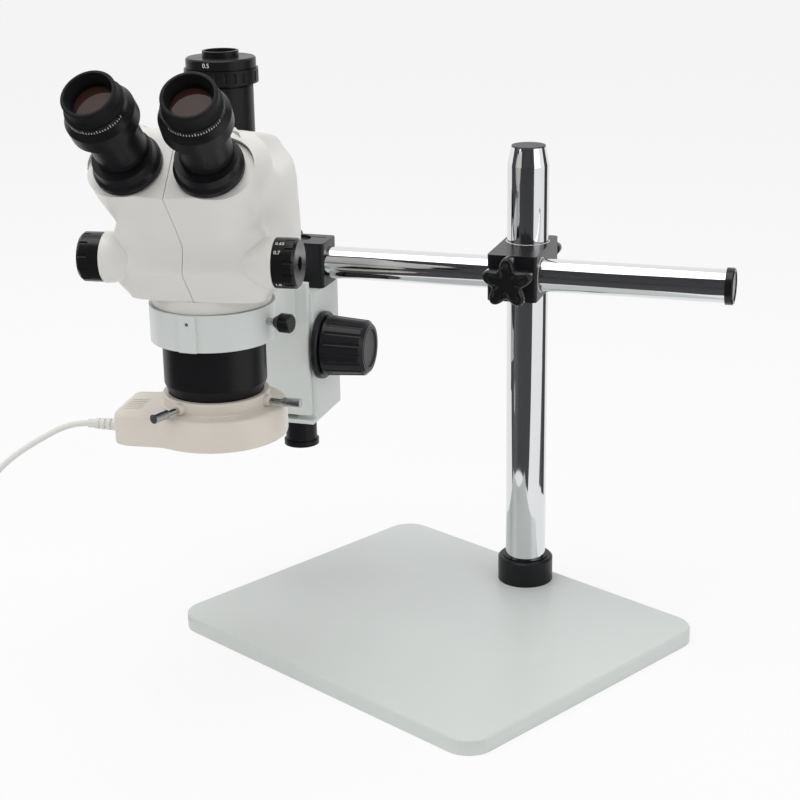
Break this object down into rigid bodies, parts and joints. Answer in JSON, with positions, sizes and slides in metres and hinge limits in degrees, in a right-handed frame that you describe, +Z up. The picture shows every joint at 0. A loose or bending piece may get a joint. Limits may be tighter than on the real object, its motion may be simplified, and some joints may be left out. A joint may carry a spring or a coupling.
{
  "type": "stereo microscope on a boom stand",
  "caption": "Trinocular stereo zoom microscope with a ring light, carried by a rack focus unit on a sliding boom arm and a heavy flat base.",
  "frame": {"origin": "centre of the base plate's flat underside, on the table", "axes": "+Z up, +Y from the front of the base towards the pillar, +X to the right of a person at the front"},
  "size_m": [0.4588, 0.5375, 0.4597],
  "materials": {
    "stand_paint": "satin light grey-white powder paint with a fine grain",
    "focus_paint": "satin light grey-white paint on a casting",
    "head_paint": "satin warm white paint on thin castings",
    "black_metal": "satin black oxide on turned steel",
    "black_casting": "semi-gloss black anodised and painted blocks",
    "black_barrel": "satin black anodised turned tubes",
    "black_plastic": "semi-gloss black moulded plastic",
    "knob_black": "satin black moulded plastic with flutes",
    "dark_plastic": "dark grey satin plastic",
    "chrome_tube": "bright hard chrome with faint grinding lines",
    "steel": "plain machined steel",
    "brass": "machined brass",
    "nylon": "natural nylon",
    "eyecup_rubber": "matt black rubber",
    "lens_glass": "coated optical glass",
    "lamp_glass": "frosted white tube",
    "light_plastic": "satin cream moulded plastic",
    "cord_plastic": "soft white vinyl sheath"
  },
  "bodies": {
    "stand": {"base_plate": "stand_paint", "foot_collar": "black_metal", "pillar": "chrome_tube", "pillar_cap": "dark_plastic", "pillar_foot_plug": "steel", "foot_bolt": "steel", "cord": "cord_plastic", "cord_coil": "cord_plastic", "cord_plug": "black_plastic"},
    "pillar_bushing": {"pillar_liner": "nylon"},
    "boom_block": {"cross_block": "black_casting"},
    "arm_lock": {"arm_lock_knob": "black_plastic", "arm_lock_stud": "steel"},
    "boom_lock": {"boom_lock_knob": "black_plastic", "boom_lock_stud": "steel"},
    "arm_bushing": {"arm_liner": "nylon"},
    "boom_arm": {"arm": "chrome_tube", "arm_end_cap": "black_plastic", "arm_end_block": "black_casting", "hanging_post": "black_metal"},
    "post_clamp": {"post_clamp_knob": "dark_plastic"},
    "post_bushing": {"post_bush": "nylon"},
    "focus_base": {"focus_body": "focus_paint"},
    "focus_slide": {"slide_plate": "focus_paint", "focus_rack": "brass", "ring_holder": "focus_paint"},
    "focus_drive": {"focus_pinion": "steel", "focus_knobs": "knob_black", "focus_knob_caps": "dark_plastic"},
    "tension": {"tension_ring": "knob_black"},
    "ring_lock": {"ring_lock_screw": "steel", "ring_lock_knob": "black_plastic"},
    "head": {"left_shell": "head_paint", "right_shell": "head_paint", "head_neck": "head_paint", "objective_barrel": "black_barrel", "objective_lens": "lens_glass", "prisms": "lens_glass", "camera_tube": "black_barrel", "camera_adapter": "black_barrel"},
    "zoom_drive": {"zoom_shaft": "steel", "zoom_knobs": "black_plastic"},
    "zoom_lenses": {"zoom_carrier": "black_casting"},
    "left_pod": {"left_eye_collar": "black_barrel", "left_eyepiece": "black_barrel", "left_eye_lens": "lens_glass"},
    "right_pod": {"right_eye_collar": "black_barrel", "right_eyepiece": "black_barrel", "right_eye_lens": "lens_glass"},
    "left_dioptre": {"left_dioptre_ring": "black_barrel", "left_eyecup": "eyecup_rubber"},
    "right_dioptre": {"right_dioptre_ring": "black_barrel", "right_eyecup": "eyecup_rubber"},
    "camera_lock": {"camera_ring": "black_barrel"},
    "ring_light": {"light_housing": "light_plastic", "light_lamp": "lamp_glass", "strain_relief": "cord_plastic"},
    "light_screw_left_body": {"light_screw_left": "steel"},
    "light_screw_right_body": {"light_screw_right": "steel"},
    "light_screw_rear_body": {"light_screw_rear": "steel"}
  },
  "joints": [
    {"name": "boom_height", "type": "slide", "parent": "stand", "child": "pillar_bushing", "axis": [0, 0, 1], "range_m": [-0.1, 0.05], "deforming": ["cord"]},
    {"name": "boom_swing", "type": "hinge", "parent": "pillar_bushing", "child": "boom_block", "pos_m": [0, 0.106, 0.2755], "axis": [0, 0, 1], "range_deg": [-150, 150], "deforming": ["cord"]},
    {"name": "arm_lock_turn", "type": "hinge", "parent": "boom_block", "child": "arm_lock", "pos_m": [0.02399, 0.05991, 0.2755], "axis": [0.4617, -0.887, 0], "range_deg": [0, 720]},
    {"name": "boom_lock_turn", "type": "hinge", "parent": "boom_block", "child": "boom_lock", "pos_m": [-0.01014, 0.12548, 0.2755], "axis": [-0.4617, 0.887, 0], "range_deg": [0, 720]},
    {"name": "arm_roll", "type": "hinge", "parent": "boom_block", "child": "arm_bushing", "pos_m": [0.0157, 0.07584, 0.2755], "axis": [0.887, 0.4617, 0], "range_deg": [-30, 30], "deforming": ["cord"]},
    {"name": "arm_reach", "type": "slide", "parent": "arm_bushing", "child": "boom_arm", "axis": [0.887, 0.4617, 0], "range_m": [-0.12, 0.07], "deforming": ["cord"]},
    {"name": "post_clamp_turn", "type": "hinge", "parent": "boom_arm", "child": "post_clamp", "pos_m": [-0.16478, -0.00064, 0.2785], "axis": [-0.4617, 0.887, 0], "range_deg": [0, 540]},
    {"name": "focus_drop", "type": "slide", "parent": "boom_arm", "child": "post_bushing", "axis": [0, 0, 1], "range_m": [-0.024, 0], "deforming": ["cord"]},
    {"name": "focus_swivel", "type": "hinge", "parent": "post_bushing", "child": "focus_base", "pos_m": [-0.14219, -0.00635, 0.2755], "axis": [0, 0, 1], "range_deg": [-30, 30], "deforming": ["cord"]},
    {"name": "focus_travel", "type": "slide", "parent": "focus_base", "child": "focus_slide", "axis": [0, 0, 1], "range_m": [-0.0035, 0.034], "deforming": ["cord"]},
    {"name": "focus_knob_turn", "type": "hinge", "parent": "focus_base", "child": "focus_drive", "pos_m": [-0.13313, -0.02374, 0.21394], "axis": [-0.887, -0.4617, 0], "range_deg": [-46, 436]},
    {"name": "tension_turn", "type": "hinge", "parent": "focus_base", "child": "tension", "pos_m": [-0.11007, -0.01174, 0.21394], "axis": [0.887, 0.4617, 0], "range_deg": [-90, 90]},
    {"name": "ring_lock_turn", "type": "hinge", "parent": "focus_slide", "child": "ring_lock", "pos_m": [-0.02465, -0.13766, 0.275], "axis": [0.9397, 0.342, 0], "range_deg": [0, 720]},
    {"name": "head_turn", "type": "hinge", "parent": "focus_slide", "child": "head", "pos_m": [-0.066, -0.15271, 0.286], "axis": [0, 0, 1], "range_deg": [-170, 170], "deforming": ["cord"]},
    {"name": "zoom_turn", "type": "hinge", "parent": "head", "child": "zoom_drive", "pos_m": [-0.04282, -0.18773, 0.3247], "axis": [0.8339, 0.5519, 0], "range_deg": [-120, 120]},
    {"name": "zoom_travel", "type": "slide", "parent": "head", "child": "zoom_lenses", "axis": [0, 0, 1], "range_m": [-0.0096, 0.0096]},
    {"name": "left_eye_turn", "type": "hinge", "parent": "head", "child": "left_pod", "pos_m": [-0.04662, -0.2309, 0.3937], "axis": [0.3327, -0.6258, 0.7055], "range_deg": [-40, 40]},
    {"name": "right_eye_turn", "type": "hinge", "parent": "head", "child": "right_pod", "pos_m": [-0.00159, -0.2011, 0.3937], "axis": [0.4461, -0.5507, 0.7055], "range_deg": [-40, 40]},
    {"name": "left_dioptre_turn", "type": "hinge", "parent": "left_pod", "child": "left_dioptre", "pos_m": [-0.0283, -0.26572, 0.43639], "axis": [0.3327, -0.6258, 0.7055], "range_deg": [-60, 60]},
    {"name": "right_dioptre_turn", "type": "hinge", "parent": "right_pod", "child": "right_dioptre", "pos_m": [0.0233, -0.23156, 0.43639], "axis": [0.4461, -0.5507, 0.7055], "range_deg": [-60, 60]},
    {"name": "camera_ring_turn", "type": "hinge", "parent": "head", "child": "camera_lock", "pos_m": [-0.09111, -0.11476, 0.436], "axis": [0, 0, 1], "range_deg": [0, 300]},
    {"name": "light_turn", "type": "hinge", "parent": "head", "child": "ring_light", "pos_m": [-0.066, -0.15271, 0.216], "axis": [0, 0, 1], "range_deg": [-45, 45], "deforming": ["cord"]},
    {"name": "light_screw_left_turn", "type": "hinge", "parent": "ring_light", "child": "light_screw_left_body", "pos_m": [-0.06009, -0.19227, 0.216], "axis": [0.1478, -0.989, 0], "range_deg": [0, 360]},
    {"name": "light_screw_right_turn", "type": "hinge", "parent": "ring_light", "child": "light_screw_right_body", "pos_m": [-0.0299, -0.13549, 0.216], "axis": [0.9026, 0.4305, 0], "range_deg": [0, 360]},
    {"name": "light_screw_rear_turn", "type": "hinge", "parent": "ring_light", "child": "light_screw_rear_body", "pos_m": [-0.10115, -0.13362, 0.216], "axis": [-0.8788, 0.4772, 0], "range_deg": [0, 360]}
  ],
  "couplings": [
    {"joint": "focus_knob_turn", "follows": "focus_travel", "rad_per_m": 222.22},
    {"joint": "zoom_travel", "follows": "zoom_turn", "m_per_rad": 0.0045},
    {"joint": "right_eye_turn", "follows": "left_eye_turn", "ratio": -1}
  ]
}
